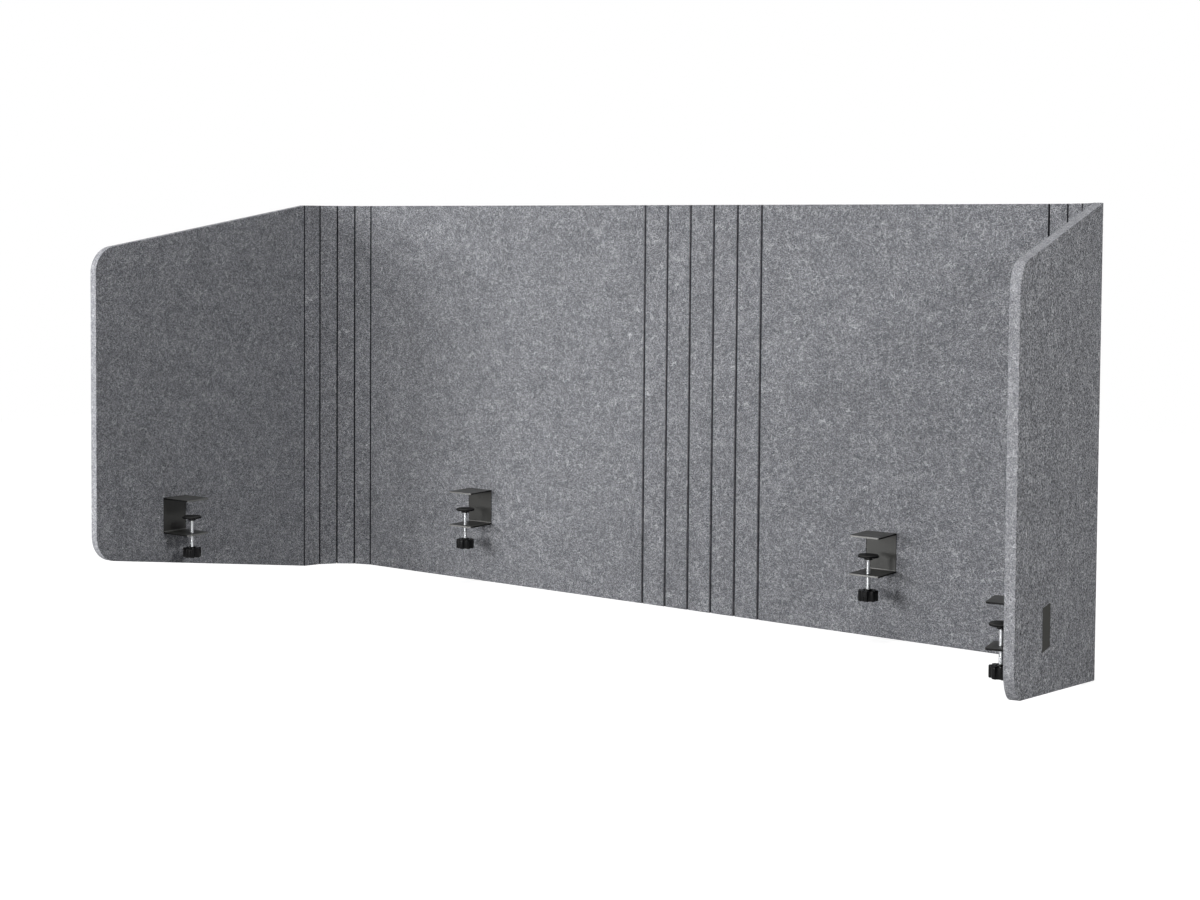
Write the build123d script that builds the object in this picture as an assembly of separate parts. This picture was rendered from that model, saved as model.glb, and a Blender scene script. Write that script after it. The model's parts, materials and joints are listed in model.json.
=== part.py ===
from build123d import *
import math
import os

# Folding three-sided desk screen: one sheet of pressed felt, grooved on its inner face so that it bends at
# two corners and in the middle, and four screw clamps that grip the edge of a desk top.
# Frame: X along the main panel, Y out through its back, Z up. The origin is on the main panel's inner face,
# halfway along it, at the height of the desk top, which is the underside of the clamps' top plates.

# Sheet
panel_height = 600.0
felt_thickness = 12.0
hang_depth = 145.0
main_width = 1180.0
wing_length = 445.0
wing_top_drop = 72.0
wing_bottom_rise = 68.0
wing_corner_radius = 40.0

# Grooves: each is a V whose point is the hinge line, on the outer face
corner_grooves = 5
corner_pitch = 33.0
corner_groove_angle = 25.0
centre_grooves = 6
centre_pitch = 40.0
centre_offset = 58.0
centre_groove_angle = 17.0
hinge_line_gap = 0.2

# Folds as they stand
left_fold_angle = 90.0
right_fold_angle = 80.0

# Places of the clamps, from the nearest corner groove to the middle of the bracket
main_clamp_setback = 236.0
wing_clamp_setback = 290.0

# Bracket, bent from one strip of sheet
bracket_thickness = 2.2
bracket_width = 45.0
bracket_reach = 52.0
bracket_jaw = 50.5
bend_radius = 1.2
plate_corner_radius = 2.5
pocket_clearance = 0.3

# Back plate and its bosses, and the two screws that draw it to the bracket
back_plate_width = 40.0
back_plate_height = 50.0
back_plate_corner_radius = 1.5
boss_diameter = 7.0
boss_clearance = 0.3
fixing_spacing = 30.0
fixing_diameter = 4.0
fixing_head_diameter = 7.6
fixing_end_gap = 0.5
thread_clearance = 0.05
seat_clearance = 0.1

# Threaded bush in the lower plate
bush_diameter = 9.0
bush_flange_diameter = 12.0
bush_flange_thickness = 2.0

# Spindle, and where it stands
spindle_diameter = 6.0
spindle_setback = 38.0
desk_gap = 24.5
knob_gap = 20.5
neck_diameter = 4.2
rivet_diameter = 7.0
rivet_height = 1.2
spindle_chamfer = 0.6

# Foot
foot_diameter = 29.5
foot_rim = 1.8
foot_hub_diameter = 12.0
foot_depth = 5.5
foot_cone_depth = 2.0
foot_edge_radius = 0.5
pad_diameter = 27.0
pad_thickness = 1.2

# Knob
knob_diameter = 28.0
knob_height = 14.5
knob_lobes = 7
knob_flute_radius = 4.6
knob_flute_depth = 2.7
knob_edge_radius = 1.4
knob_collar_diameter = 12.0
knob_collar_height = 1.6
knob_insert_depth = 11.0
knob_recess_diameter = 17.0
knob_recess_depth = 1.5

# Values worked out from those above
top_z = panel_height - hang_depth
bottom_z = -hang_depth
overrun = felt_thickness
plate_bottom = -bracket_jaw - bracket_thickness
bracket_middle = -bracket_jaw / 2
pad_top = -desk_gap
foot_top = pad_top - pad_thickness
foot_bottom = foot_top - foot_depth
knob_top = plate_bottom - knob_gap

corner_lines = [main_width / 2 + corner_pitch * i for i in range(corner_grooves)]
centre_lines = [centre_offset + centre_pitch * (i - (centre_grooves - 1) / 2) for i in range(centre_grooves)]


def half_groove(angle):
    """Half the width of a groove at the inner face, beyond the hinge line."""
    return felt_thickness * math.tan(math.radians(angle / 2))


def slab(start, end, start_angle, end_angle):
    """A length of the flat sheet at full height, its ends sloped to the half angles of the grooves."""
    start_in = start + (hinge_line_gap / 2 + half_groove(start_angle) if start_angle else 0)
    end_in = end - (hinge_line_gap / 2 + half_groove(end_angle) if end_angle else 0)
    start_out = start + (hinge_line_gap / 2 if start_angle else 0)
    end_out = end - (hinge_line_gap / 2 if end_angle else 0)
    corners = [(start_in, 0), (end_in, 0), (end_out, felt_thickness), (start_out, felt_thickness)]
    plan = make_face(Plane.XY.offset(bottom_z) * Polyline(corners, close=True))
    return extrude(plan, amount=panel_height, dir=(0, 0, 1))


def wing_outline():
    """The side view of the right wing as a thick plate: it narrows to the front, with rounded corners."""
    groove = corner_lines[-1]
    front = groove + wing_length
    corners = [
        (groove - overrun, bottom_z),
        (groove, bottom_z),
        (front, bottom_z + wing_bottom_rise),
        (front, top_z - wing_top_drop),
        (groove, top_z),
        (groove - overrun, top_z),
    ]
    outline = make_face(Polyline(corners, close=True))
    fronts = outline.vertices().group_by(Axis.X)[-1]
    outline = fillet(fronts, radius=wing_corner_radius)
    return extrude(Plane.XZ * outline, amount=felt_thickness + overrun, both=True)


def right_wing_flat():
    """The right wing in the flat sheet."""
    plate = slab(corner_lines[-1], corner_lines[-1] + wing_length, corner_groove_angle, 0)
    return plate & wing_outline()


def clamp_seat(x):
    """What is cut out of the sheet for one clamp: a pocket on each face and two bores between them."""
    web_height = bracket_jaw + 2 * bracket_thickness
    web = Box(
        bracket_width + 2 * pocket_clearance,
        bracket_thickness + overrun,
        web_height + 2 * pocket_clearance,
        align=(Align.CENTER, Align.MAX, Align.CENTER),
    )
    plate = Box(
        back_plate_width + 2 * pocket_clearance,
        bracket_thickness + overrun,
        back_plate_height + 2 * pocket_clearance,
        align=(Align.CENTER, Align.MIN, Align.CENTER),
    )
    cut = Pos(0, bracket_thickness, bracket_middle) * web
    cut += Pos(0, felt_thickness - bracket_thickness, bracket_middle) * plate
    for z in fixing_heights():
        cut += along_y(boss_diameter / 2 + boss_clearance, 0, felt_thickness, z)
    return Pos(x, 0, 0) * cut


def fixing_heights():
    """The heights of a clamp's two fixing screws."""
    return [bracket_middle - fixing_spacing / 2, bracket_middle + fixing_spacing / 2]


def along_y(radius, start, end, z):
    """A cylinder that runs along Y from start to end, at height z."""
    return Pos(0, start, z) * Rot(-90, 0, 0) * Cylinder(
        radius, end - start, align=(Align.CENTER, Align.CENTER, Align.MIN)
    )


def upright(radius, low, high):
    """A cylinder that stands on the clamp's spindle axis, from low to high."""
    return Pos(0, -spindle_setback, low) * Cylinder(
        radius, high - low, align=(Align.CENTER, Align.CENTER, Align.MIN)
    )


def turned(points):
    """A solid turned about the spindle axis, from (radius, height) points."""
    half = make_face(Plane.XZ * Polyline(points, close=True))
    return Pos(0, -spindle_setback, 0) * revolve(half, axis=Axis.Z)


def bracket():
    """The C-shaped bracket: a web in its pocket and two plates that reach over and under the desk."""
    outer_height = bracket_jaw + 2 * bracket_thickness
    depth = bracket_reach + bracket_thickness
    outer = Pos(bracket_thickness - depth / 2, bracket_middle) * Rectangle(depth, outer_height)
    bends = outer.vertices().group_by(Axis.X)[-1]
    outer = fillet(bends, radius=bend_radius + bracket_thickness)
    throat = Pos(-bracket_reach / 2 - overrun / 2, bracket_middle) * Rectangle(
        bracket_reach + overrun, bracket_jaw
    )
    bends = throat.vertices().group_by(Axis.X)[-1]
    throat = fillet(bends, radius=bend_radius)
    body = extrude(Plane.YZ * (outer - throat), amount=bracket_width / 2, both=True)
    tips = body.edges().filter_by(Axis.Z).group_by(Axis.Y)[0]
    body = fillet(tips, radius=plate_corner_radius)
    for z in fixing_heights():
        body -= along_y(fixing_diameter / 2 + seat_clearance, -overrun, felt_thickness, z)
        body -= countersink(fixing_head_diameter / 2 + seat_clearance, z)
    return body - upright(bush_diameter / 2 + thread_clearance, plate_bottom - overrun, -bracket_jaw + overrun)


def countersink(radius, z):
    """The cone of a countersunk head, its rim on the inner face and its sides at 45 degrees."""
    depth = radius - fixing_diameter / 2
    cone = Cone(radius, fixing_diameter / 2, depth, align=(Align.CENTER, Align.CENTER, Align.MIN))
    return Pos(0, 0, z) * Rot(-90, 0, 0) * cone


def back_plate():
    """The plate in the outer face, with two blind threaded bosses that reach to the bracket's web."""
    face = Pos(0, bracket_middle) * RectangleRounded(back_plate_width, back_plate_height, back_plate_corner_radius)
    front = felt_thickness - bracket_thickness
    plate = extrude(Plane.XZ.offset(-felt_thickness) * face, amount=bracket_thickness)
    for z in fixing_heights():
        plate += along_y(boss_diameter / 2, bracket_thickness, front, z)
    for z in fixing_heights():
        plate -= along_y(fixing_diameter / 2 + thread_clearance, 0, front, z)
    return plate


def fixing_screws():
    """Two countersunk screws, flush in the web, that run into the back plate's bosses."""
    end = felt_thickness - bracket_thickness - fixing_end_gap
    screws = []
    for z in fixing_heights():
        shank = along_y(fixing_diameter / 2, 0, end, z)
        screws.append(shank + countersink(fixing_head_diameter / 2, z))
    return Compound(children=screws)


def bush():
    """The threaded bush: a body pressed into the lower plate and a flange under it."""
    bore = spindle_diameter / 2 + thread_clearance
    return turned([
        (bore, -bracket_jaw),
        (bush_diameter / 2, -bracket_jaw),
        (bush_diameter / 2, plate_bottom),
        (bush_flange_diameter / 2, plate_bottom),
        (bush_flange_diameter / 2, plate_bottom - bush_flange_thickness),
        (bore, plate_bottom - bush_flange_thickness),
    ])


def spindle():
    """The screw: a riveted head and neck that hold the foot, then the threaded rod down into the knob."""
    rod = spindle_diameter / 2
    shoulder = foot_bottom - seat_clearance
    rivet_top = foot_top - seat_clearance
    end = knob_top - knob_insert_depth
    return turned([
        (0, rivet_top),
        (rivet_diameter / 2, rivet_top),
        (rivet_diameter / 2, rivet_top - rivet_height),
        (neck_diameter / 2, rivet_top - rivet_height),
        (neck_diameter / 2, shoulder),
        (rod, shoulder),
        (rod, end + spindle_chamfer),
        (rod - spindle_chamfer, end),
        (0, end),
    ])


def foot():
    """The foot: a disc with a coned underside, bored for the spindle's neck and sunk for its head."""
    bore = neck_diameter / 2 + seat_clearance
    sink = rivet_diameter / 2 + seat_clearance
    sink_floor = foot_top - rivet_height - 2 * seat_clearance
    return turned([
        (sink, foot_top),
        (foot_diameter / 2 - foot_edge_radius, foot_top),
        (foot_diameter / 2, foot_top - foot_edge_radius),
        (foot_diameter / 2, foot_top - foot_rim),
        (foot_hub_diameter / 2, foot_top - foot_rim - foot_cone_depth),
        (foot_hub_diameter / 2, foot_bottom),
        (bore, foot_bottom),
        (bore, sink_floor),
        (sink, sink_floor),
    ])


def foot_pad():
    """The rubber pad on top of the foot."""
    return upright(pad_diameter / 2, foot_top, pad_top)


def knob():
    """The moulded star knob: fluted sides, rounded edges, a collar round the spindle and a dished underside."""
    radius = knob_diameter / 2
    low = knob_top - knob_height
    body = Cylinder(radius, knob_height, align=(Align.CENTER, Align.CENTER, Align.MIN))
    ring = radius + knob_flute_radius - knob_flute_depth
    for i in range(knob_lobes):
        flute = Cylinder(knob_flute_radius, knob_height, align=(Align.CENTER, Align.CENTER, Align.MIN))
        body -= Rot(0, 0, 360 * i / knob_lobes) * Pos(ring, 0, 0) * flute
    rims = body.edges().group_by(Axis.Z)[0] + body.edges().group_by(Axis.Z)[-1]
    body = fillet(rims, radius=knob_edge_radius)
    body = Pos(0, -spindle_setback, low) * body
    body += upright(knob_collar_diameter / 2, knob_top, knob_top + knob_collar_height)
    body -= upright(knob_recess_diameter / 2, low, low + knob_recess_depth)
    bore = spindle_diameter / 2 + thread_clearance
    return body - upright(
        bore, knob_top - knob_insert_depth - seat_clearance, knob_top + knob_collar_height
    )


def fold(piece, side, lines):
    """Takes a piece of the flat sheet to where it stands, bent inwards at each of the corner lines given.

    side is 1 on the right and -1 on the left.
    """
    angle = (right_fold_angle if side > 0 else left_fold_angle) / corner_grooves
    for line in reversed(lines):
        hinge = Axis((side * line, felt_thickness, 0), (0, 0, 1))
        piece = piece.rotate(hinge, -side * angle)
    return piece


def bend_strip(index, side):
    """One of the narrow strips of a corner; index 0 is next to the main panel."""
    strip = slab(corner_lines[index], corner_lines[index + 1], corner_groove_angle, corner_groove_angle)
    if side < 0:
        strip = mirror(strip, about=Plane.YZ)
    return fold(strip, side, corner_lines[: index + 1])


def sheet_pieces():
    """Every stretch of the felt sheet between grooves, by name."""
    edge = corner_lines[0]
    main_x = main_width / 2 - main_clamp_setback
    wing_x = corner_lines[-1] + wing_clamp_setback
    wing = right_wing_flat() - clamp_seat(wing_x)
    pieces = {
        "left_wing": fold(mirror(wing, about=Plane.YZ), -1, corner_lines),
        "main_left": slab(-edge, centre_lines[0], corner_groove_angle, centre_groove_angle) - clamp_seat(-main_x),
        "main_right": slab(centre_lines[-1], edge, centre_groove_angle, corner_groove_angle) - clamp_seat(main_x),
        "right_wing": fold(wing, 1, corner_lines),
    }
    for i in range(centre_grooves - 1):
        strip = slab(centre_lines[i], centre_lines[i + 1], centre_groove_angle, centre_groove_angle)
        pieces[f"centre_strip_{i + 1}"] = strip
    for i in range(corner_grooves - 1):
        pieces[f"left_strip_{i + 1}"] = bend_strip(i, -1)
        pieces[f"right_strip_{i + 1}"] = bend_strip(i, 1)
    return pieces


def clamp_pieces():
    """The pieces of one clamp, made where it would stand in the middle of the main panel."""
    return {
        "bracket": bracket(),
        "back_plate": back_plate(),
        "fixing_screws": fixing_screws(),
        "bush": bush(),
        "spindle": spindle(),
        "foot": foot(),
        "foot_pad": foot_pad(),
        "knob": knob(),
    }


def placed_clamps():
    """The pieces of all four clamps where they stand, by name."""
    main_x = main_width / 2 - main_clamp_setback
    wing_x = corner_lines[-1] + wing_clamp_setback
    pieces = {}
    for name, piece in clamp_pieces().items():
        pieces[f"left_wing_clamp_{name}"] = fold(Pos(-wing_x, 0, 0) * piece, -1, corner_lines)
        pieces[f"main_left_clamp_{name}"] = Pos(-main_x, 0, 0) * piece
        pieces[f"main_right_clamp_{name}"] = Pos(main_x, 0, 0) * piece
        pieces[f"right_wing_clamp_{name}"] = fold(Pos(wing_x, 0, 0) * piece, 1, corner_lines)
    return pieces


os.makedirs("parts", exist_ok=True)
for name, piece in {**sheet_pieces(), **placed_clamps()}.items():
    export_step(piece, f"parts/{name}.step")
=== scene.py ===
import json
import math

import bmesh
import bpy
import numpy as np
from mathutils import Matrix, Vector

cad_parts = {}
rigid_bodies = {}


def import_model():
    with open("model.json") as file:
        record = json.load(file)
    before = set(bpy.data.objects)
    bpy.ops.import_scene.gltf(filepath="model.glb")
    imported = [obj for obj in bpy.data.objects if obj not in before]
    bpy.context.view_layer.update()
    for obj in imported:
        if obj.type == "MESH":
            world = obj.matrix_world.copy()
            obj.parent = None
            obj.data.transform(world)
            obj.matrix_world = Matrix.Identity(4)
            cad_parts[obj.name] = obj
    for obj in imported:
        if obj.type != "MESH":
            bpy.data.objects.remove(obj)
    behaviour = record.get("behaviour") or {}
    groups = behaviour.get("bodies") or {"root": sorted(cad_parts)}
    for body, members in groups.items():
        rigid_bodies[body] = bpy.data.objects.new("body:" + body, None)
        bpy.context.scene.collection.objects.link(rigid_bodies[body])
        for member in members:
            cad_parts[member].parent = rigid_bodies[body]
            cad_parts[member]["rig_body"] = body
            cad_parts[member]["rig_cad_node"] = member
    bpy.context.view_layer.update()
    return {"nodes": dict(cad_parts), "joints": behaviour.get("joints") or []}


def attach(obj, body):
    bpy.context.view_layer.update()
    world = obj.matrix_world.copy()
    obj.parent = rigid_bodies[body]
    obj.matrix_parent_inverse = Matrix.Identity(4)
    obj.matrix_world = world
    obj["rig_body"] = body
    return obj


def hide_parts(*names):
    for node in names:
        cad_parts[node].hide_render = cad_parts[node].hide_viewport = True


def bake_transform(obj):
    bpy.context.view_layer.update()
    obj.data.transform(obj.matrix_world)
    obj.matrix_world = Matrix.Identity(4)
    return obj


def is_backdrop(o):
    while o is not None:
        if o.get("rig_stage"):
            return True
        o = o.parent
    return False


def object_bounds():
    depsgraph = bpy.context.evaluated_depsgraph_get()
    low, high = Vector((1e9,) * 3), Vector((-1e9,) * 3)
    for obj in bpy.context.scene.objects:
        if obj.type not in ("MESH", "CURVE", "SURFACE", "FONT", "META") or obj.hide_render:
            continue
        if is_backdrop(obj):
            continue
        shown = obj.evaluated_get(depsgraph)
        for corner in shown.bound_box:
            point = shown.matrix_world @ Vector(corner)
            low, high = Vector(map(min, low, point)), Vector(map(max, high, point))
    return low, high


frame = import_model()

# The felt sheet: one piece of pressed polyester felt, 12 mm thick, with wings that narrow to the
# front. Sixteen upright V grooves cut in its inner face part it into stiff stretches. Each stretch
# is a closed shell with softened edges and, where a clamp sits, a shallow pocket on both faces.

felt_thickness, felt_bottom, felt_top = 0.012, -0.145, 0.455
wing_length, wing_top_drop, wing_bottom_rise, wing_corner = 0.445, 0.072, 0.068, 0.040
skin_thickness, skin_half_width = 0.001, 0.0015
left_corner, right_corner = 90, 80  # degrees that the sheet turns at each corner
corner_grooves, centre_grooves = 5, 6
corner_groove_half, centre_groove_half = 12.5, 8.5  # degrees from a groove's middle to its wall
groove_point_gap, groove_lip = 0.0001, 0.0024
soft_edge, face_margin, groove_edge_share = 0.0008, 0.0006, 0.3
pocket_depth, pocket_middle = 0.0022, -0.02525
pocket_half_widths = {"inner": 0.0233, "outer": 0.0203}
pocket_half_heights = {"inner": 0.02775, "outer": 0.0253}
clamp_from_start = {"left_wing": 0.155, "main_left": 0.236, "main_right": 0.196,
                    "right_wing": 0.290}

joints = {joint["name"]: joint for joint in frame["joints"]}
folds = [f"left_fold_{i}" for i in range(corner_grooves, 0, -1)]
folds += [f"centre_fold_{i}" for i in range(1, centre_grooves + 1)]
folds += [f"right_fold_{i}" for i in range(1, corner_grooves + 1)]
stretch_names = ["left_wing"]
stretch_names += [joints[f]["parent" if f.startswith("left") else "child"] for f in folds]
groove_slopes = [math.tan(math.radians(centre_groove_half if f.startswith("centre")
                                       else corner_groove_half)) for f in folds]


def turned(direction, degrees):
    """A direction in the plan turned anticlockwise: x' = x cos a - y sin a and
    y' = x sin a + y cos a."""
    a = math.radians(degrees)
    x, y = direction
    return np.array([x * math.cos(a) - y * math.sin(a), x * math.sin(a) + y * math.cos(a)])


def unit(vector):
    """A vector divided by its length."""
    return vector / np.linalg.norm(vector)


# The outer face's line in the plan, from the left wing's front through the folds to the right's
fold_points = np.array([joints[f]["pos_m"][:2] for f in folds])
left_along = turned(unit(fold_points[1] - fold_points[0]), left_corner / corner_grooves)
right_along = turned(unit(fold_points[-1] - fold_points[-2]), -right_corner / corner_grooves)
plan_points = np.vstack([fold_points[0] - wing_length * left_along, fold_points,
                         fold_points[-1] + wing_length * right_along])
along = [unit(b - a) for a, b in zip(plan_points, plan_points[1:])]
outwards = [turned(u, 90) for u in along]
lengths = [float(np.linalg.norm(b - a)) for a, b in zip(plan_points, plan_points[1:])]


def wing_heights(front, inset):
    """Lowest and highest point of a wing at a distance behind its front edge. Each long edge is a
    straight line that leaves the front corner at its slope, and each corner is the arc
    middle +- sqrt(r^2 - x^2). The inset moves the lines inwards and takes as much off the arcs'
    radius."""
    heights = []
    for level, run, way in ((felt_bottom + wing_bottom_rise, wing_bottom_rise, -1),
                            (felt_top - wing_top_drop, wing_top_drop, 1)):
        slope = math.atan2(run, wing_length)
        middle = level + way * (wing_corner * math.tan(slope) - wing_corner / math.cos(slope))
        straight = level + way * (front * math.tan(slope) - inset / math.cos(slope))
        radius = wing_corner - inset
        arc = middle + way * np.sqrt(np.maximum(radius ** 2 - (front - wing_corner) ** 2, 0))
        meet = wing_corner - radius * math.sin(slope)
        heights.append(np.where(front < meet, arc, straight))
    return heights


def edge_heights(index, s, inset):
    """Lowest and highest point of a stretch at a distance s from its start."""
    if stretch_names[index] == "left_wing":
        return wing_heights(s, inset)
    if stretch_names[index] == "right_wing":
        return wing_heights(lengths[index] - s, inset)
    return [np.full_like(s, felt_bottom + inset), np.full_like(s, felt_top - inset)]


# Grid lines: upright columns along a stretch, and level rows from its lowest to its highest
column_step, row_step, front_columns = 0.02, 0.04, 15
lowest_row, highest_row = -0.085, 0.375
strip_rows = np.linspace(-0.1, 0.4, 9)
line_tolerance = 1e-6


def grid_lines(low, high, step, middle=None, half=0.0):
    """Places of grid lines from low to high, about a step apart. The two edges of a pocket come
    twice, so that its walls can stand upright between two lines in one place."""
    if middle is None:
        return np.linspace(low, high, max(3, round((high - low) / step) + 1))
    before, after = max(2, round((middle - low) / step)), max(2, round((high - middle) / step))
    return np.concatenate([np.linspace(low, middle - half, before + 1),
                           np.linspace(middle - half, middle + half, 4),
                           np.linspace(middle + half, high, after + 1)])


def stretch_columns(index, face):
    """The upright grid lines of a stretch. Near a wing's front they crowd together as 1 - cos a,
    so that its rounded corners are even."""
    name, length = stretch_names[index], lengths[index]
    pocket = (clamp_from_start[name], pocket_half_widths[face]) if name in clamp_from_start else ()
    if "wing" not in name:
        return grid_lines(0, length, column_step, *pocket)
    arc = wing_corner * (1 - np.cos(np.linspace(0, math.pi / 2, front_columns)))[:-1]
    if name == "left_wing":
        return np.concatenate([arc, grid_lines(wing_corner, length, column_step, *pocket)])
    return np.concatenate([grid_lines(0, length - wing_corner, column_step, *pocket),
                           length - arc[::-1]])


def stretch_rows(index, face):
    """The level grid lines of a stretch, without its lowest and highest."""
    if stretch_names[index] not in clamp_from_start:
        return strip_rows
    return grid_lines(lowest_row, highest_row, row_step, pocket_middle, pocket_half_heights[face])


def stretch_grid(index, inset, sides, face):
    """Where a stretch's grid lines cross: s along the sheet and z upwards, each columns x rows.
    The first and last column keep the two side distances from their folds. A level line keeps its
    height, but past a wing's pocket towards the front it keeps its share of the height there, so
    that the lines close up."""
    name, length = stretch_names[index], lengths[index]
    s = level_s = stretch_columns(index, face)
    if "wing" in name:
        front = s if name == "left_wing" else length - s
        drawn_in = wing_corner - (wing_corner - inset) * (wing_corner - front) / wing_corner
        front = np.where(front < wing_corner, drawn_in, front)
        if name == "left_wing":
            s = front
            level_s = np.maximum(s, clamp_from_start[name] - pocket_half_widths[face])
        else:
            s = length - front
            level_s = np.minimum(s, clamp_from_start[name] + pocket_half_widths[face])
    s = s.copy()
    if name != "left_wing":
        s[0] = sides[0]
    if name != "right_wing":
        s[-1] = length - sides[1]
    low, high = edge_heights(index, s, inset)
    level_low, level_high = edge_heights(index, level_s, inset)
    rows = stretch_rows(index, face)
    share = (rows[None, :] - level_low[:, None]) / (level_high - level_low)[:, None]
    share = np.hstack([np.zeros((len(s), 1)), share, np.ones((len(s), 1))])
    z = low[:, None] + share * (high - low)[:, None]
    return np.broadcast_to(s[:, None], z.shape), z


def pocket_cut(index, s, z, face):
    """How deep a face's grid points lie: the pocket's depth inside it and nothing around it. Of
    two grid lines on the pocket's edge, the one that is nearer to the middle is inside."""
    depth = np.zeros(s.shape)
    if stretch_names[index] in clamp_from_start:
        from_middle = np.abs(s[:, 0] - clamp_from_start[stretch_names[index]])
        inside = from_middle < pocket_half_widths[face] + line_tolerance
        columns = np.flatnonzero(inside)[1:-1]
        from_middle = np.abs(z[columns[0]] - pocket_middle)
        inside = from_middle < pocket_half_heights[face] + line_tolerance
        rows = np.flatnonzero(inside)[1:-1]
        depth[np.ix_(columns, rows)] = pocket_depth
    return depth


def border(grid):
    """The values round a grid's edge: along the bottom, up the end, back along the top and down
    the start."""
    return np.concatenate([grid[:-1, 0], grid[-1, :-1], grid[:0:-1, -1], grid[0, :0:-1]])


def quads_of(rows, columns, closed=False):
    """The four corners of each cell of a rows x columns grid of points, joined round its columns
    if closed."""
    index = np.arange(rows * columns).reshape(rows, columns)
    if closed:
        index = np.hstack([index, index[:, :1]])
    corners = [index[:-1, :-1], index[1:, :-1], index[1:, 1:], index[:-1, 1:]]
    return np.stack(corners, axis=-1).reshape(-1, 4)


merge_distance, sharp_angle = 2e-6, math.radians(35)


def new_piece(name, points, quads, materials, slots=None):
    """A closed piece from points and quads, with a material slot for each quad. Doubles are
    merged and the faces turned outwards."""
    mesh = bpy.data.meshes.new(name)
    mesh.from_pydata(points.tolist(), [], quads.tolist())
    for material in materials:
        mesh.materials.append(material)
    if slots is not None:
        mesh.polygons.foreach_set("material_index", np.asarray(slots, dtype=np.int32))
    work = bmesh.new()
    work.from_mesh(mesh)
    bmesh.ops.remove_doubles(work, verts=work.verts, dist=merge_distance)
    bmesh.ops.recalc_face_normals(work, faces=work.faces)
    work.to_mesh(mesh)
    work.free()
    mesh.shade_smooth()
    mesh.set_sharp_from_angle(angle=sharp_angle)
    piece = bpy.data.objects.new(name, mesh)
    bpy.context.scene.collection.objects.link(piece)
    return piece


# The slots of felt_materials, below. An edge's round shows the face's felt as far as its turn, in
# radians, and cut felt beyond
inner_felt, cut_felt, corner_groove_shade, centre_groove_shade, outer_felt = range(5)
inner_face_turn, outer_face_turn = 0.7, 0.9
edge_turns = np.linspace(0, math.pi / 2, 5)


def felt_shell(name, index, rings, carry, cuts, grooves):
    """A closed felt shell. Each ring is (depth, s grid, z grid, slot of the walls up to the next
    ring). The first ring's grid is the inner face and the last one's the outer face, and between
    them only the rings' borders are used, joined one to the next. The start and the end each have
    a groove, (slot, lip), or None: a groove's wall has its slot from its lip's depth on."""
    columns, rows = rings[0][1].shape
    points = [carry(index, s, depth + way * cut, z)
              for (depth, s, z, _), cut, way in zip((rings[0], rings[-1]), cuts, (1, -1))]
    points += [carry(index, border(s), depth, border(z)) for depth, s, z, _ in rings]
    face = quads_of(columns, rows)
    loop = quads_of(len(rings), 2 * (columns + rows) - 4, closed=True) + 2 * columns * rows
    spans = (columns - 1, rows - 1, columns - 1, rows - 1)
    slots = [np.repeat([inner_felt, outer_felt], len(face))]
    for depth, _, _, slot in rings[:-1]:
        start, end = (groove[0] if groove and depth >= groove[1] else slot for groove in grooves)
        slots.append(np.repeat([slot, end, slot, start], spans))
    return new_piece(name, np.concatenate([p.reshape(-1, 3) for p in points]),
                     np.concatenate([face, face + columns * rows, loop]), felt_materials,
                     np.concatenate(slots))


def edge_round(a):
    """Depth and inset of a softened edge at the angle a of its quarter round: r (1 - cos a) and
    r (1 - sin a)."""
    return soft_edge * (1 - math.cos(a)), soft_edge * (1 - math.sin(a))


def stretch_rings(index):
    """The rings of a stretch from its inner face to its outer face. A groove's wall stands off
    its fold by gap + (thickness - depth) tan h + a share of the inset, with h the groove's half
    angle, and stops at the skin."""
    skin_depth = felt_thickness - skin_thickness
    levels = [(0, soft_edge + face_margin, False, inner_felt)]
    for a in edge_turns:
        levels.append((*edge_round(a), False, inner_felt if a < inner_face_turn else cut_felt))
    levels += [(groove_lip, 0, False, cut_felt), (skin_depth, 0, False, cut_felt),
               (skin_depth, 0, True, cut_felt)]
    for a in edge_turns[::-1]:
        depth, inset = edge_round(a)
        levels.append((felt_thickness - depth, inset, True,
                       cut_felt if a > outer_face_turn else outer_felt))
    levels.append((felt_thickness, soft_edge + face_margin, True, outer_felt))
    rings = []
    for depth, inset, on_skin, slot in levels:
        sides = [groove_point_gap + (felt_thickness - depth) * slope + groove_edge_share * inset
                 for slope in [0, *groove_slopes, 0][index:index + 2]]
        if on_skin:
            sides = [skin_half_width, skin_half_width]
        grid = stretch_grid(index, inset, sides, "outer" if on_skin else "inner")
        rings.append((depth, *grid, slot))
    return rings


def stand(index, s, depth, z):
    """A point of a stretch: its start, plus s along it, plus its depth from the outer face."""
    depth = np.broadcast_to(depth, s.shape)
    plan = (plan_points[index] + s[..., None] * along[index]
            + (depth - felt_thickness)[..., None] * outwards[index])
    return np.concatenate([plan, z[..., None]], axis=-1)


def add(tree, kind, sockets=None, **settings):
    """A node with its settings, and each named socket set to a value or linked to another node's
    output."""
    node = tree.nodes.new(kind)
    for key, value in settings.items():
        setattr(node, key, value)
    for key, value in (sockets or {}).items():
        if isinstance(value, bpy.types.NodeSocket):
            tree.links.new(value, node.inputs[key])
        else:
            node.inputs[key].default_value = value
    return node


def new_group(name, inputs, outputs):
    """An empty shader node group with named inputs, each with its value, and named outputs."""
    tree = bpy.data.node_groups.new(name, "ShaderNodeTree")
    for label, value in inputs.items():
        kind = "NodeSocketVector" if value is None else "NodeSocketFloat"
        socket = tree.interface.new_socket(label, in_out="INPUT", socket_type=kind)
        if value is not None:
            socket.default_value = value
    for label in outputs:
        tree.interface.new_socket(label, in_out="OUTPUT", socket_type="NodeSocketFloat")
    return tree, add(tree, "NodeGroupInput").outputs, add(tree, "NodeGroupOutput")


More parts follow.
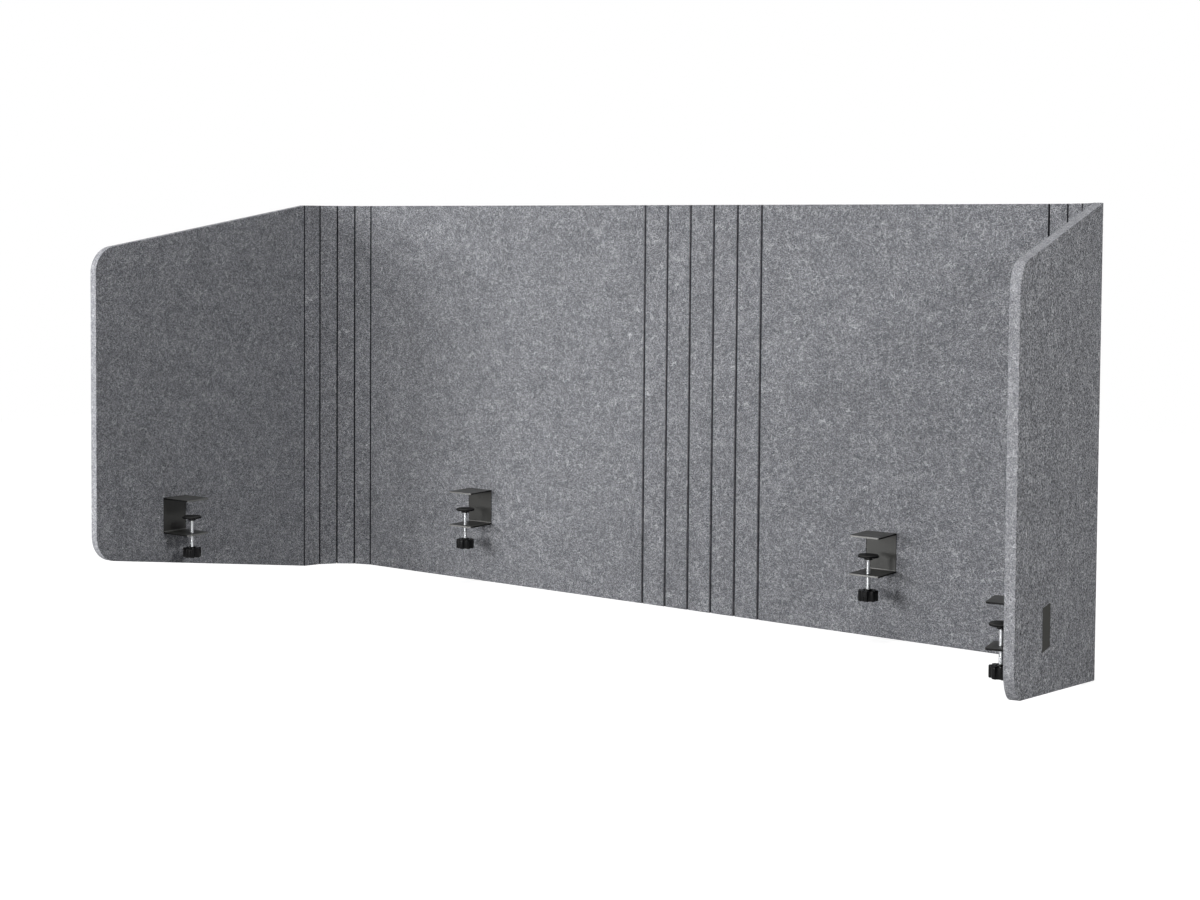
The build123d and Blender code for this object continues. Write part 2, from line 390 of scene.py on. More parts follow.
def math_node(tree, operation, a, b=0.0, c=0.0):
    """The result of a sum on one to three values."""
    return add(tree, "ShaderNodeMath", {0: a, 1: b, 2: c}, operation=operation).outputs[0]


def ranged(tree, value, low, high, to_low, to_high, smooth=False):
    """A value taken from one range to another."""
    sockets = {"Value": value, "From Min": low, "From Max": high, "To Min": to_low,
               "To Max": to_high}
    kind = "SMOOTHSTEP" if smooth else "LINEAR"
    return add(tree, "ShaderNodeMapRange", sockets, interpolation_type=kind).outputs["Result"]


def noise(tree, vector, scale, detail=2.0, distortion=0.0, roughness=0.5):
    """The value of a noise at a vector."""
    sockets = {"Vector": vector, "Scale": scale, "Detail": detail, "Distortion": distortion,
               "Roughness": roughness}
    return add(tree, "ShaderNodeTexNoise", sockets).outputs["Fac"]


def shifted(tree, vector, offset):
    """A vector with an offset added."""
    return add(tree, "ShaderNodeVectorMath", {0: vector, 1: offset}, operation="ADD").outputs[0]


# Tangled fibres, used by every felt surface: thin curls that follow the middle value of a bent
# noise, broken into short lengths by another, in three dull layers and a rarer bright one
fine_grain, coarse_grain = 1100.0, 500.0
speck_scale, relief_scale, cloud_scale = 700.0, 1300.0, 24.0
gap_low, gap_high = 0.56, 0.72
fibre_height, relief_height, speck_height = 0.65, 0.35, 0.5
curl_layers = (  # share of the scale, share of the width, brightness, rarity, offset
    (1.0, 1.0, 0.72, 0.0, (0.0, 0.0, 0.0)), (1.7, 1.2, 0.72, 0.0, (1.3, 0.7, 2.1)),
    (3.1, 1.6, 0.72, 0.0, (3.7, 2.9, 0.4)), (0.6, 0.5, 1.0, 0.12, (6.1, 4.3, 7.7)))
break_offset, break_scale, break_low, break_high = (5.1, 8.3, 1.9), 1.4, 0.95, 1.05
tangle, given, result = new_group(
    "tangled felt fibres",
    {"Vector": None, "Curls": 75.0, "Width": 0.035, "Amount": 0.5, "Grain": fine_grain},
    ["Fibres", "Mottle", "Gaps", "Cloud", "Height"])
layers = []
for size, width, bright, rare, offset in curl_layers:
    spot = shifted(tangle, given["Vector"], offset)
    curls = math_node(tangle, "MULTIPLY", given["Curls"], size)
    curl = noise(tangle, spot, curls, detail=1.5, distortion=1.6)
    line = math_node(tangle, "ABSOLUTE", math_node(tangle, "SUBTRACT", curl, 0.5))
    edge = math_node(tangle, "MULTIPLY", given["Width"], width)
    line = ranged(tangle, line, 0.0, edge, 1.0, 0.0, smooth=True)
    scale = math_node(tangle, "MULTIPLY", given["Curls"], break_scale * size)
    breaks = noise(tangle, shifted(tangle, spot, break_offset), scale, detail=1.0)
    low, high = (math_node(tangle, "SUBTRACT", level + rare, given["Amount"])
                 for level in (break_low, break_high))
    layers.append(math_node(tangle, "MULTIPLY", line,
                            ranged(tangle, breaks, low, high, 0.0, bright)))
fibres = layers[0]
for layer in layers[1:]:
    fibres = math_node(tangle, "MAXIMUM", fibres, layer)
speck = noise(tangle, given["Vector"], speck_scale, detail=2.0, distortion=0.6)
mottle = noise(tangle, given["Vector"], given["Grain"], detail=2.0, distortion=0.8, roughness=0.8)
cloud = noise(tangle, given["Vector"], cloud_scale, detail=3.0, distortion=0.5, roughness=0.6)
gaps = ranged(tangle, speck, gap_low, gap_high, 0.0, 1.0, smooth=True)
height = noise(tangle, given["Vector"], relief_scale, detail=2.0)
height = math_node(tangle, "MULTIPLY", height, relief_height)
height = math_node(tangle, "MULTIPLY_ADD", fibres, fibre_height, height)
height = math_node(tangle, "MULTIPLY_ADD", speck, speck_height, height)
for label, value in (("Fibres", fibres), ("Gaps", gaps), ("Mottle", mottle), ("Cloud", cloud),
                     ("Height", height)):
    tangle.links.new(value, result.inputs[label])


def new_material(name, **sockets):
    """A material of one Principled shader whose constant values are set on its own sockets."""
    material = bpy.data.materials.new(name)
    material.use_nodes = True
    tree = material.node_tree
    tree.nodes.clear()
    values = {key.replace("_", " "): value for key, value in sockets.items()}
    shader = add(tree, "ShaderNodeBsdfPrincipled", values)
    add(tree, "ShaderNodeOutputMaterial", {"Surface": shader.outputs[0]})
    return material, tree, shader, add(tree, "ShaderNodeTexCoord").outputs["Object"]


def mixed(tree, factor, first, second):
    """Two colours mixed by a factor."""
    sockets = {"Factor": factor, 6: first, 7: second}
    return add(tree, "ShaderNodeMix", sockets, data_type="RGBA").outputs[2]


def bumped(tree, shader, height, distance, strength):
    """Links a height to a shader through a bump."""
    bump = add(tree, "ShaderNodeBump",
               {"Height": height, "Distance": distance, "Strength": strength})
    tree.links.new(bump.outputs[0], shader.inputs["Normal"])


noise_low, noise_high = 0.3, 0.7  # where nearly all of a noise's values lie
fibre_relief = 0.0006


def felt_material(name, base, fibre, gap, mottling, clouding, amount, relief, grain=fine_grain):
    """Pressed felt: a mottled ground, paler curls and darker gaps, clouded over a few
    centimetres."""
    material, tree, shader, place = new_material(name, Roughness=0.95, Specular_IOR_Level=0.0)
    group = add(tree, "ShaderNodeGroup", node_tree=tangle)
    tree.links.new(place, group.inputs["Vector"])
    group.inputs["Amount"].default_value = amount
    group.inputs["Grain"].default_value = grain
    ground = mixed(tree, group.outputs["Gaps"], (*base, 1), (*gap, 1))
    colour = mixed(tree, group.outputs["Fibres"], ground, (*fibre, 1))
    clouded = ranged(tree, group.outputs["Cloud"], noise_low, noise_high, 1 - clouding,
                     1 + clouding)
    mottled = ranged(tree, group.outputs["Mottle"], noise_low, noise_high, 1 - mottling,
                     1 + mottling, smooth=True)
    shade = math_node(tree, "MULTIPLY", clouded, mottled)
    tinted = add(tree, "ShaderNodeVectorMath", {0: colour, 3: shade}, operation="SCALE")
    tree.links.new(tinted.outputs[0], shader.inputs["Base Color"])
    bumped(tree, shader, group.outputs["Height"], fibre_relief, relief)
    return material


felt_materials = [
    felt_material("heather felt", base=(0.174, 0.179, 0.196), fibre=(0.5, 0.505, 0.525),
                  gap=(0.09, 0.092, 0.103), mottling=0.9, clouding=0.09, amount=0.6, relief=0.8),
    felt_material("cut felt", base=(0.33, 0.335, 0.36), fibre=(0.66, 0.665, 0.69),
                  gap=(0.17, 0.173, 0.19), mottling=0.6, clouding=0.05, amount=0.55, relief=0.9),
    # The two groove felts are darker than the cut felt that a groove's walls really are: painted
    # shade inside the grooves, darkest in the corner grooves.
    felt_material("painted shade in corner grooves", base=(0.06, 0.062, 0.07), fibre=(0.12, 0.122, 0.13),
                  gap=(0.04, 0.041, 0.047), mottling=0.4, clouding=0.05, amount=0.45,
                  relief=0.8),
    felt_material("painted shade in centre grooves", base=(0.17, 0.174, 0.19), fibre=(0.3, 0.305, 0.32),
                  gap=(0.09, 0.092, 0.1), mottling=0.4, clouding=0.05, amount=0.45, relief=0.8),
    felt_material("coarser heather felt", base=(0.164, 0.169, 0.186),
                  fibre=(0.58, 0.585, 0.605), gap=(0.06, 0.062, 0.07), mottling=0.98,
                  clouding=0.09, amount=0.64, relief=1.0, grain=coarse_grain),
]

# A centre groove's walls keep the cut felt down to the lip and take the darker felt below it,
# painted shade deeper in the groove. A corner groove's walls carry the dark painted shade all the
# way.
groove_shades = [(centre_groove_shade, groove_lip) if f.startswith("centre") else (corner_groove_shade, 0)
                for f in folds]
for index, name in enumerate(stretch_names):
    rings = stretch_rings(index)
    cuts = [pocket_cut(index, ring[1], ring[2], face)
            for ring, face in ((rings[0], "inner"), (rings[-1], "outer"))]
    grooves = [None, *groove_shades, None][index:index + 2]
    piece = felt_shell(f"felt_{name}", index, rings, stand, cuts, grooves)
    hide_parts(name)
    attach(piece, name)

# The skin at the bottom of each groove: the last millimetre of felt, left uncut, which bends when
# the screen is folded. Each is a strip 3 mm wide, flush with the outer face, between the two
# stretches that it joins.

skin_columns = np.linspace(-skin_half_width, skin_half_width, 11)
skin_shares = np.linspace(0, 1, 5)


def bent(before, s, depth, z):
    """A point of the strip turned about the fold by bend * w(t), where w = t^2 (3 - 2 t) and t
    goes from 0 to 1 across the strip."""
    u, v = along[before], along[before + 1]
    bend = math.atan2(u[0] * v[1] - u[1] * v[0], float(u @ v))
    t = (s + skin_half_width) / (2 * skin_half_width)
    a = bend * t * t * (3 - 2 * t)
    out = np.broadcast_to(depth, s.shape) - felt_thickness
    flat = s[..., None] * u + out[..., None] * outwards[before]
    plan = plan_points[before + 1] + np.stack(
        [flat[..., 0] * np.cos(a) - flat[..., 1] * np.sin(a),
         flat[..., 0] * np.sin(a) + flat[..., 1] * np.cos(a)], axis=-1)
    return np.concatenate([plan, z[..., None]], axis=-1)


def skin_ring(before, depth, inset, slot):
    """A ring of the strip after a stretch: its heights follow the stretch it lies beside."""
    x = skin_columns
    start = edge_heights(before, lengths[before] + np.minimum(x, 0), inset)
    end = edge_heights(before + 1, np.maximum(x, 0), inset)
    low, high = (np.where(x < 0, a, b) for a, b in zip(start, end))
    z = low[:, None] + skin_shares * (high - low)[:, None]
    return depth, np.broadcast_to(x[:, None], z.shape), z, slot


for index, fold in enumerate(folds):
    rings = [skin_ring(index, felt_thickness - skin_thickness, 0, cut_felt)]
    for a in edge_turns[::-1]:
        depth, inset = edge_round(a)
        rings.append(skin_ring(index, felt_thickness - depth, inset, cut_felt))
    rings.append(skin_ring(index, felt_thickness, soft_edge + face_margin, outer_felt))
    no_cut = np.zeros(rings[0][1].shape)
    piece = felt_shell(f"skin_{fold}", index, rings, bent, (no_cut, no_cut), (None, None))
    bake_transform(piece)

# The brackets: each is bent to a C from one strip of 2.2 mm steel, 45 mm wide, and coated dark
# grey. The coat is black on the long cut edges, a painted shade, and lighter on the tips and inside
# the lower bend, a painted highlight. A matt back plate in the outer face and two screws through
# the felt draw the web home.

bracket_reach, bracket_jaw, bend_radius = 0.052, 0.0505, 0.0012
bracket_bevel, plate_bevel, bevel_angle = 0.0003, 0.0002, math.radians(40)
# How straight a face has to look along an axis to count as flat, as a tip or as a cut edge, the
# least slant of a bend's faces, and how far a tip reaches back
flat_look, tip_look, edge_look, bend_slant, tip_length = 0.9995, 0.7, 0.8, 0.05, 0.003

# Fine coat, used by every metal and moulded surface: a grain that can be felt, a slow change of
# tone, and rubbed spots
coat_grain, coat_relief = 1600.0, 0.0001
tone_scale, rub_scale, rub_low, rub_high, worn_share = 45.0, 260.0, 0.55, 0.75, 0.4
coat, given, result = new_group("coated surface", {"Vector": None, "Grain": coat_grain},
                                ["Grain", "Tone", "Rub"])
fine = noise(coat, given["Vector"], given["Grain"], detail=2.0)
tone = noise(coat, given["Vector"], tone_scale, detail=3.0, distortion=0.4)
rub = noise(coat, given["Vector"], rub_scale, detail=4.0, distortion=1.0, roughness=0.65)
rub = ranged(coat, rub, rub_low, rub_high, 0.0, 1.0, smooth=True)
for label, value in (("Grain", fine), ("Tone", tone), ("Rub", rub)):
    coat.links.new(value, result.inputs[label])


def coated_material(name, base, worn, roughness, spread, grain, relief, **sockets):
    """A coated or moulded surface: its colour goes a little to the worn one in rubbed spots, and
    its roughness changes slowly."""
    material, tree, shader, place = new_material(name, **sockets)
    group = add(tree, "ShaderNodeGroup", node_tree=coat)
    tree.links.new(place, group.inputs["Vector"])
    group.inputs["Grain"].default_value = grain
    rubbed = math_node(tree, "MULTIPLY", group.outputs["Rub"], worn_share)
    tree.links.new(mixed(tree, rubbed, (*base, 1), (*worn, 1)), shader.inputs["Base Color"])
    rough = ranged(tree, group.outputs["Tone"], noise_low, noise_high, roughness - spread,
                   roughness + spread)
    tree.links.new(rough, shader.inputs["Roughness"])
    bumped(tree, shader, group.outputs["Grain"], coat_relief, relief)
    return material


graphite = coated_material("graphite coat", base=(0.05, 0.05, 0.047), worn=(0.075, 0.075, 0.07),
                           roughness=0.38, spread=0.05, grain=coat_grain, relief=0.5,
                           Specular_IOR_Level=0.25)
# Near black on the long cut edges: painted shade where the side faces turn away from the light.
side_edge_shade = coated_material("black painted shade on cut edges", base=(0.006, 0.006, 0.006),
                            worn=(0.02, 0.02, 0.02), roughness=0.6, spread=0.05,
                            grain=coat_grain, relief=0.5, Specular_IOR_Level=0.15)
# Lighter coat on the tips and in the hollow of the lower bend: a painted highlight where these
# catch the light.
tip_and_bend_highlight = coated_material("coat with painted highlight", base=(0.17, 0.17, 0.165), worn=(0.28, 0.28, 0.27),
                              roughness=0.42, spread=0.06, grain=coat_grain, relief=0.4,
                              Metallic=0.3)
matt_graphite = coated_material("matt graphite coat", base=(0.082, 0.082, 0.077),
                                worn=(0.105, 0.105, 0.098), roughness=0.6, spread=0.05,
                                grain=coat_grain, relief=0.5, Specular_IOR_Level=0.0)


def faces_of(mesh, clamp):
    """Where a mesh's faces look and where they are, in its clamp's own frame: x along the sheet,
    y outwards from the inner face, and z up."""
    index = stretch_names.index(clamp)
    axes = np.array([[*along[index], 0], [*outwards[index], 0], [0, 0, 1]])
    middle = plan_points[index] + clamp_from_start[clamp] * along[index]
    middle = middle - felt_thickness * outwards[index]
    normals, centres = np.empty(len(mesh.polygons) * 3), np.empty(len(mesh.polygons) * 3)
    mesh.polygons.foreach_get("normal", normals)
    mesh.polygons.foreach_get("center", centres)
    return normals.reshape(-1, 3) @ axes.T, (centres.reshape(-1, 3) - [*middle, 0]) @ axes.T


def softened(node, name, clamp, materials, width, slots_of=None):
    """A merged copy of a CAD node that takes its place, with its sharp edges bevelled. Flat faces
    stay flat, and only the curved ones, which look along none of the clamp's axes, are smooth."""
    piece = frame["nodes"][node].copy()
    piece.data = frame["nodes"][node].data.copy()
    piece.name = name
    piece.parent = None
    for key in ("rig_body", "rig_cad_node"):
        del piece[key]
    bpy.context.scene.collection.objects.link(piece)
    mesh = piece.data
    work = bmesh.new()
    work.from_mesh(mesh)
    bmesh.ops.remove_doubles(work, verts=work.verts, dist=merge_distance)
    work.to_mesh(mesh)
    work.free()
    mesh.materials.clear()
    for material in materials:
        mesh.materials.append(material)
    look, place = faces_of(mesh, clamp)
    mesh.polygons.foreach_set("use_smooth", np.abs(look).max(axis=1) < flat_look)
    if slots_of is not None:
        mesh.polygons.foreach_set("material_index", slots_of(look, place).astype(np.int32))
    bevel = piece.modifiers.new("bevel", "BEVEL")
    bevel.width, bevel.segments = width, 2
    bevel.limit_method, bevel.angle_limit = "ANGLE", bevel_angle
    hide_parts(node)
    return piece


def bracket_slots(look, place):
    """The coat of each face of a bracket: black where it looks along the sheet, a painted shade,
    lighter on the tips and on the hollow of the lower bend, a painted highlight, and graphite
    elsewhere."""
    tip = (look[:, 1] < -tip_look) & (place[:, 1] < tip_length - bracket_reach)
    slanted = np.abs(look[:, 1] * look[:, 2]) > bend_slant
    near_web = (place[:, 1] > -bend_radius) & (place[:, 1] < 0)
    low_bend = (place[:, 2] > -bracket_jaw) & (place[:, 2] < bend_radius - bracket_jaw)
    # Slot 1 paints shade on the faces that look along the sheet, and slot 2 paints a highlight on
    # the tips and the lower bend's hollow.
    slots = np.where(np.abs(look[:, 0]) > edge_look, 1, 0)
    slots[tip | (slanted & near_web & low_bend)] = 2
    return slots


bracket_coats = (graphite, side_edge_shade, tip_and_bend_highlight)
for clamp in clamp_from_start:
    for part, coats, width, slots_of in (
            ("bracket", bracket_coats, bracket_bevel, bracket_slots),
            ("back_plate", (matt_graphite,), plate_bevel, None)):
        piece = softened(f"{clamp}_clamp_{part}", f"{clamp}_{part}", clamp, coats, width, slots_of)
        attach(piece, clamp)
    screws = frame["nodes"][f"{clamp}_clamp_fixing_screws"]
    screws.data.materials.clear()
    screws.data.materials.append(graphite)

# The spindles: M6 screws of zinc plated steel. A rolled thread runs the whole way up to the neck,
# which is riveted into the foot. The bush that each one turns in is blackened steel, pressed into
# the bracket's lower plate.

spindle_setback = 0.038
thread_low, thread_high, neck_top, rivet_top = -0.0838, -0.0314, -0.0270, -0.0258
thread_radius, thread_depth, thread_pitch = 0.003, 0.00055, 0.001
crest_share, flank_share = 0.1, 0.75
neck_fade, end_fade, faded_cut = 0.0012, 0.0006, 0.0003
end_height, end_radius = 0.0004, 0.0024
neck_step, neck_radius, rivet_radius = 0.0001, 0.0021, 0.0035
thread_columns, thread_rows = 40, 521


def lathe(name, clamp, radius, z, around, material):
    """A closed turned piece, where its clamp stands. A point is at the radius r and the angle a
    round the spindle's axis, r cos a along the sheet and r sin a outwards. The first and last
    rings shrink to the axis or meet each other."""
    index = stretch_names.index(clamp)
    axis = plan_points[index] + clamp_from_start[clamp] * along[index]
    axis = axis - (felt_thickness + spindle_setback) * outwards[index]
    plan = (axis + (radius * np.cos(around))[..., None] * along[index]
            + (radius * np.sin(around))[..., None] * outwards[index])
    points = np.concatenate([plan, z[..., None]], axis=-1)
    return new_piece(name, points.reshape(-1, 3), quads_of(*z.shape, closed=True), [material])


def spindle_surface():
    """Thread: radius = outer - depth * |2 frac(z / pitch - a / 2 pi) - 1|, squared off at crest
    and root, and fading out at the neck and the end. Above it are the neck and the riveted
    head."""
    around = np.linspace(0, 2 * math.pi, thread_columns, endpoint=False)[None, :]
    z = np.linspace(thread_low, thread_high, thread_rows)[:, None]
    saw = np.abs(2 * ((z / thread_pitch - around / (2 * math.pi)) % 1) - 1)
    saw = np.clip((saw - crest_share) / flank_share, 0, 1)
    fade = (np.clip((thread_high - z) / neck_fade, 0, 1)
            * np.clip((z - thread_low) / end_fade, 0, 1))
    radius = thread_radius - faded_cut * (1 - fade) - thread_depth * saw * fade
    end = np.array([(0.0, thread_low - end_height), (end_radius, thread_low - end_height)])
    head = np.array([(neck_radius, thread_high + neck_step), (neck_radius, neck_top),
                     (rivet_radius, neck_top), (rivet_radius, rivet_top), (0.0, rivet_top)])
    ones = np.ones_like(around)
    radius = np.vstack([end[:, :1] * ones, radius, head[:, :1] * ones])
    z = np.vstack([end[:, 1:] * ones, z * ones, head[:, 1:] * ones])
    return radius, z, np.broadcast_to(around, z.shape)


zinc = coated_material("zinc plate", base=(0.72, 0.73, 0.74), worn=(0.6, 0.6, 0.58),
                       roughness=0.3, spread=0.06, grain=2400.0, relief=0.3, Metallic=1.0)
blackened = coated_material("blackened steel", base=(0.03, 0.03, 0.031),
                            worn=(0.06, 0.058, 0.055), roughness=0.42, spread=0.06,
                            grain=2000.0, relief=0.4, Metallic=0.6)
for clamp in clamp_from_start:
    piece = lathe(f"{clamp}_spindle", clamp, *spindle_surface(), zinc)
    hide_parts(f"{clamp}_clamp_spindle")
    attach(piece, f"{clamp}_clamp_screw")
    piece = softened(f"{clamp}_clamp_bush", f"{clamp}_bush", clamp, (blackened,), plate_bevel)
    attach(piece, clamp)

# The star knobs: moulded black plastic, each fixed on its spindle's lower end, with seven lobes,
# rounded rims, a collar round the spindle and a dished underside.

knob_low, knob_height, knob_radius, knob_lobes = -0.0877, 0.0145, 0.0140, 7
flute_radius, flute_depth, flute_softness, rim_radius = 0.0046, 0.0027, 0.0006, 0.0014
past_flute, lobe_columns, rim_rows = 0.002, 32, 6
# (radius, height): the dish above the knob's underside, and the collar above its top
dish = [(0.0, 0.0015), (0.0078, 0.0015), (0.0084, 0.0012), (0.0086, 0.0002), (0.0089, 0.0)]
collar = [(0.0066, 0.0), (0.0061, 0.0003), (0.006, 0.0008), (0.0059, 0.0014), (0.0055, 0.0016),
          (0.0031, 0.0016), (0.0031, -0.002), (0.0, -0.002)]


def knob_surface():
    """Outline: radius = R, cut by a flute that is a circle of radius f whose middle is at
    c = R + f - depth, so that radius = c cos b - sqrt(f^2 - c^2 sin^2 b), with b the angle from
    the flute's middle. The two are joined by a soft minimum. The rims are quarter rounds of the
    outline."""
    around = np.linspace(0, 2 * math.pi, knob_lobes * lobe_columns, endpoint=False)
    b = (around * knob_lobes / (2 * math.pi) + 0.5) % 1 - 0.5
    b = b * 2 * math.pi / knob_lobes
    c = knob_radius + flute_radius - flute_depth
    inside = flute_radius ** 2 - (c * np.sin(b)) ** 2
    flute = np.where(inside > 0, c * np.cos(b) - np.sqrt(np.maximum(inside, 0)),
                     c * np.cos(b) + past_flute)
    share = np.clip(0.5 + (flute - knob_radius) / (2 * flute_softness), 0, 1)
    outline = flute * (1 - share) + knob_radius * share - flute_softness * share * (1 - share)
    rim = [(outline - rim_radius * (1 - math.sin(a)), rim_radius * (1 - math.cos(a)))
           for a in np.linspace(0, math.pi / 2, rim_rows)]
    top = knob_low + knob_height
    rows = [(np.full_like(around, radius), knob_low + rise) for radius, rise in dish]
    rows += [(radius, knob_low + rise) for radius, rise in rim]
    rows += [(radius, top - rise) for radius, rise in rim[::-1]]
    rows += [(np.full_like(around, radius), top + rise) for radius, rise in collar]
    radius, z = np.array([row for row, _ in rows]), np.array([height for _, height in rows])
    return radius, np.broadcast_to(z[:, None], radius.shape), np.broadcast_to(around, radius.shape)


moulded = coated_material("moulded black", base=(0.007, 0.007, 0.0075),
                          worn=(0.018, 0.018, 0.019), roughness=0.25, spread=0.05, grain=900.0,
                          relief=0.5, Specular_IOR_Level=0.1)
for clamp in clamp_from_start:
    piece = lathe(f"{clamp}_knob", clamp, *knob_surface(), moulded)
    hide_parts(f"{clamp}_clamp_knob")
    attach(piece, f"{clamp}_clamp_screw")

# The feet: turned discs of black plastic with a coned underside and a hub round the neck. A rubber
# pad is glued on top of each, with shallow rings in its face.

foot_radius, hub_radius, bore_radius, seat_radius = 0.01475, 0.006, 0.0022, 0.0036
foot_top, foot_low = -0.0257, -0.0312
rim_drop, cone_drop, seat_drop = 0.0018, 0.0038, 0.0014  # below the foot's top
pad_radius, pad_face_radius, pad_top = 0.0135, 0.0128, -0.0245
foot_ease, pad_ease, most_ease = 0.0004, 0.0003, 0.45  # the last is a share of a side
ring_pitch, ring_depth, ring_rows, foot_columns = 0.0016, 0.00015, 65, 96


def profile_surface(profile):
    """A profile of (radius, height) points carried round the spindle's axis."""
    around = np.linspace(0, 2 * math.pi, foot_columns, endpoint=False)
    radius, z = (np.repeat(np.array(values)[:, None], foot_columns, axis=1)
                 for values in zip(*profile))
    return radius, z, np.broadcast_to(around, z.shape)


def eased(corners, ease, steps=5):
    """A profile with each inner corner rounded: the curve (1 - t)^2 a + 2 t (1 - t) b + t^2 c,
    from the ease before the corner b to the ease after it."""
    corners = np.array(corners)
    points = [corners[0]]
    for a, b, c in zip(corners, corners[1:], corners[2:]):
        size = min(ease, most_ease * np.linalg.norm(a - b), most_ease * np.linalg.norm(c - b))
        start, end = b + size * unit(a - b), b + size * unit(c - b)
        t = np.linspace(0, 1, steps)[:, None]
        points.extend((1 - t) ** 2 * start + 2 * t * (1 - t) * b + t ** 2 * end)
    return [tuple(p) for p in (*points, corners[-1])]


foot_profile = eased([(seat_radius, foot_top - seat_drop), (seat_radius, foot_top),
                      (foot_radius, foot_top), (foot_radius, foot_top - rim_drop),
                      (hub_radius, foot_top - cone_drop), (hub_radius, foot_low),
                      (bore_radius, foot_low), (bore_radius, foot_top - seat_drop),
                      (seat_radius, foot_top - seat_drop)], foot_ease)
pad_edge = eased([(0.0, foot_top), (pad_radius, foot_top), (pad_radius, pad_top),
                  (pad_face_radius, pad_top)], pad_ease)
# The pad's rings: height = top - depth (1 - cos(2 pi r / pitch)) / 2
ring_radii = np.linspace(pad_face_radius, 0, ring_rows)[1:]
ring_waves = 0.5 - 0.5 * np.cos(2 * np.pi * ring_radii / ring_pitch)
pad_profile = pad_edge + list(zip(ring_radii, pad_top - ring_depth * ring_waves))
gloss = coated_material("glossy black", base=(0.006, 0.006, 0.0065), worn=(0.018, 0.018, 0.018),
                        roughness=0.16, spread=0.04, grain=900.0, relief=0.2,
                        Specular_IOR_Level=0.1)
rubber = coated_material("black rubber", base=(0.014, 0.014, 0.014), worn=(0.03, 0.03, 0.03),
                         roughness=0.75, spread=0.08, grain=1400.0, relief=0.8)
for clamp in clamp_from_start:
    for part, profile, material, slot in (("foot", foot_profile, gloss, "black_plastic"),
                                          ("foot_pad", pad_profile, rubber, "black_rubber")):
        piece = lathe(f"{clamp}_{part}", clamp, *profile_surface(profile), material)
        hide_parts(f"{clamp}_clamp_{part}")
        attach(piece, f"{clamp}_clamp_foot")

# The floor: plain and matt. What the camera sees of it is lifted to white, and the screen's shadow
# still shows on it.

floor_half, floor_grey, floor_lift = 3, 0.35, 0.88
floor_mesh = bpy.data.meshes.new("floor")
floor_corners = ((-1, -1), (1, -1), (1, 1), (-1, 1))
floor_mesh.from_pydata([(floor_half * x, floor_half * y, felt_bottom) for x, y in floor_corners],
                       [], [(0, 1, 2, 3)])
floor = bpy.data.objects.new("floor", floor_mesh)
bpy.context.scene.collection.objects.link(floor)
floor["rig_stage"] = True


def seen_straight(tree):
    """1 where the camera, a reflection or a clear surface looks, and 0 where light is
    gathered."""
    path = add(tree, "ShaderNodeLightPath").outputs
    seen = math_node(tree, "MAXIMUM", path["Is Camera Ray"], path["Is Glossy Ray"])
    return math_node(tree, "MAXIMUM", seen, path["Is Transmission Ray"])


white = bpy.data.materials.new("white floor")
white.use_nodes = True
tree = white.node_tree
tree.nodes.clear()
matt = add(tree, "ShaderNodeBsdfDiffuse", {"Color": (floor_grey, floor_grey, floor_grey, 1)})
lift = math_node(tree, "MULTIPLY", seen_straight(tree), floor_lift)
lift = add(tree, "ShaderNodeEmission", {"Color": (1, 1, 1, 1), "Strength": lift})
both = add(tree, "ShaderNodeAddShader", {0: matt.outputs[0], 1: lift.outputs[0]})
add(tree, "ShaderNodeOutputMaterial", {"Surface": both.outputs[0]})
floor_mesh.materials.append(white)

# The light: a white studio all round, two soft lights from the front, a broad one from the left,
# one from the right that passes over the right wing, and others on its outer face, from above and
# on the back.

studio_glow, studio_white = 0.02, 1.0  # its strength on the object, and where it is seen
world = bpy.data.worlds.new("white studio")
bpy.context.scene.world = world
world.use_nodes = True
tree = world.node_tree
tree.nodes.clear()
strength = ranged(tree, seen_straight(tree), 0.0, 1.0, studio_glow, studio_white)
sky = add(tree, "ShaderNodeBackground", {"Color": (1, 1, 1, 1), "Strength": strength})
add(tree, "ShaderNodeOutputWorld", {"Surface": sky.outputs[0]})


def placed(x, y, z, place):
    """The matrix of an object whose own axes lie along x, y and z, at a place."""
    turn = np.stack([x, y, z], axis=1).tolist()
    return Matrix([[*row, at] for row, at in zip(turn, place)] + [[0, 0, 0, 1]])


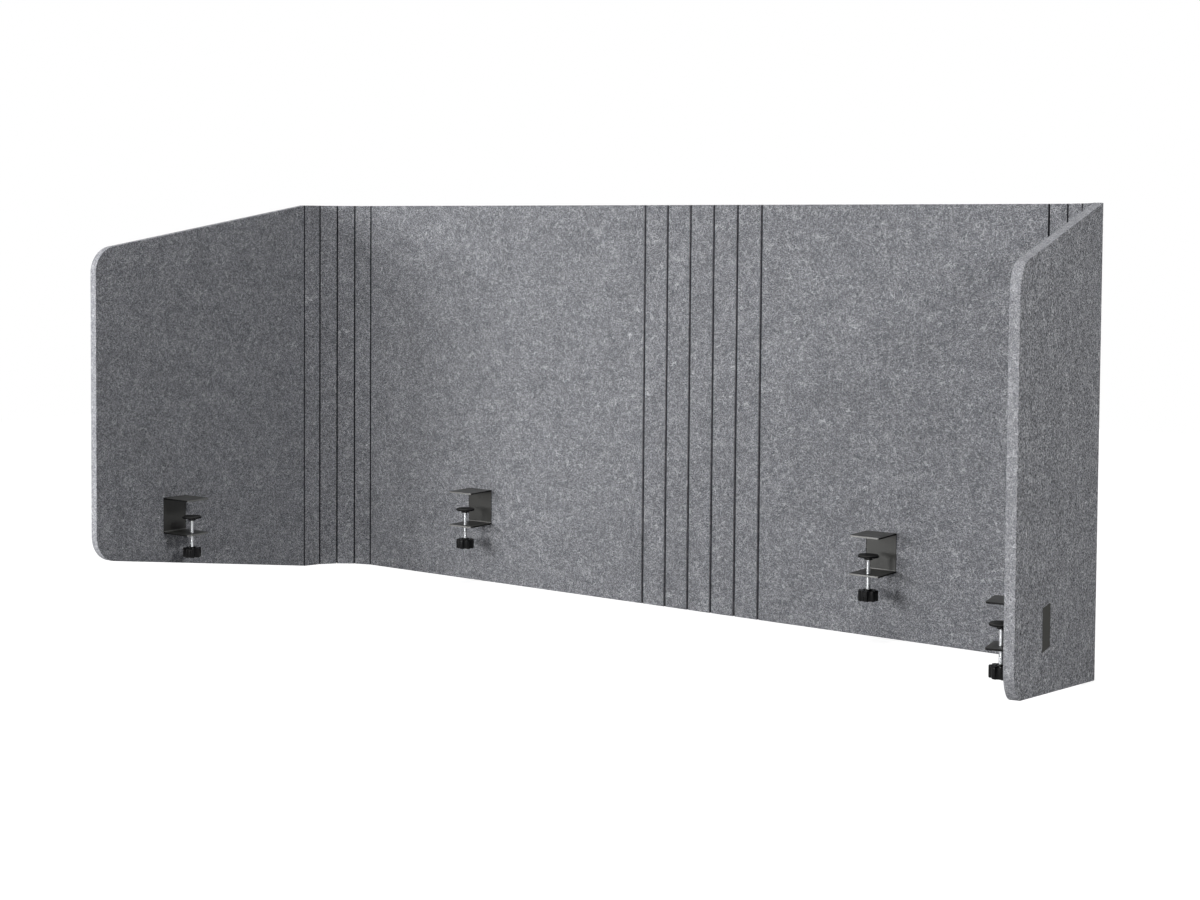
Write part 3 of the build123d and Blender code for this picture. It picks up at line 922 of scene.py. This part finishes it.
def soft_light(name, place, target, size, level):
    """A square light that gives a level of light on a surface that faces it at its target: its
    power is level * pi^2 * distance^2, whatever its size."""
    data = bpy.data.lights.new(name, "AREA")
    data.shape, data.size = "SQUARE", size
    gap = np.array(target) - np.array(place)
    data.energy = level * math.pi * float(gap @ gap) * math.pi
    light = bpy.data.objects.new(name, data)
    bpy.context.scene.collection.objects.link(light)
    ahead, side = unit(gap), unit(np.cross(gap, (0, 0, 1)))
    light.matrix_world = placed(side, np.cross(side, ahead), -ahead, place)


middle = (0, 0, 0.1)
soft_light("front light", (-1.0, -3.45, 0.15), middle, size=0.5, level=0.28)
soft_light("small front light", (0.75, -3.5, 0.15), middle, size=0.45, level=0.13)
soft_light("left light", (-1.9, -2.9, 0.7), middle, size=1.0, level=0.45)
soft_light("right light", (3.2, -0.9, 1.7), (-0.66, -0.25, 0.1), size=0.5, level=0.22)
soft_light("side light", (3.4, 1.0, 0.6), (0.73, -0.3, 0.1), size=1.0, level=0.2)
soft_light("top light", (-0.1, -0.5, 3.3), (0, -0.2, 0.1), size=1.2, level=0.45)
soft_light("back light", (-2.2, 3.0, 0.9), middle, size=1.2, level=0.6)

# The camera: where it stood for the photograph, a little below the height of the screen's top edge,
# to the right and well back. It looks down a little, and half of the photograph's own shift makes
# up the rest of the picture's framing.

# The picture, the focal length and the point straight ahead, in pixels
picture_width, picture_height = 1200, 900
focal, ahead_x, ahead_y = 1945.7, 544.07, 316.87
camera_place = (1.56964, -2.43074, 0.41672)
yaw, pitch, roll = math.radians(36.500), math.radians(-2.554), math.radians(0.352)
ahead = np.array([-math.sin(yaw) * math.cos(pitch), math.cos(yaw) * math.cos(pitch),
                  math.sin(pitch)])
level = np.array([math.cos(yaw), math.sin(yaw), 0.0])
upward = np.cross(level, ahead)
right = math.cos(roll) * level + math.sin(roll) * upward
upward = -math.sin(roll) * level + math.cos(roll) * upward
lens = bpy.data.cameras.new("camera")
lens.sensor_width, lens.sensor_fit = 36.0, "HORIZONTAL"
lens.lens = focal / picture_width * lens.sensor_width
lens.shift_x = (picture_width / 2 - ahead_x) / picture_width
lens.shift_y = (ahead_y - picture_height / 2) / picture_width
lens.clip_start, lens.clip_end = 0.1, 60.0
camera = bpy.data.objects.new("camera", lens)
bpy.context.scene.collection.objects.link(camera)
camera.matrix_world = placed(right, upward, -ahead, camera_place)
bpy.context.scene.camera = camera
bpy.context.scene.view_settings.view_transform = "Standard"

low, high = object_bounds()
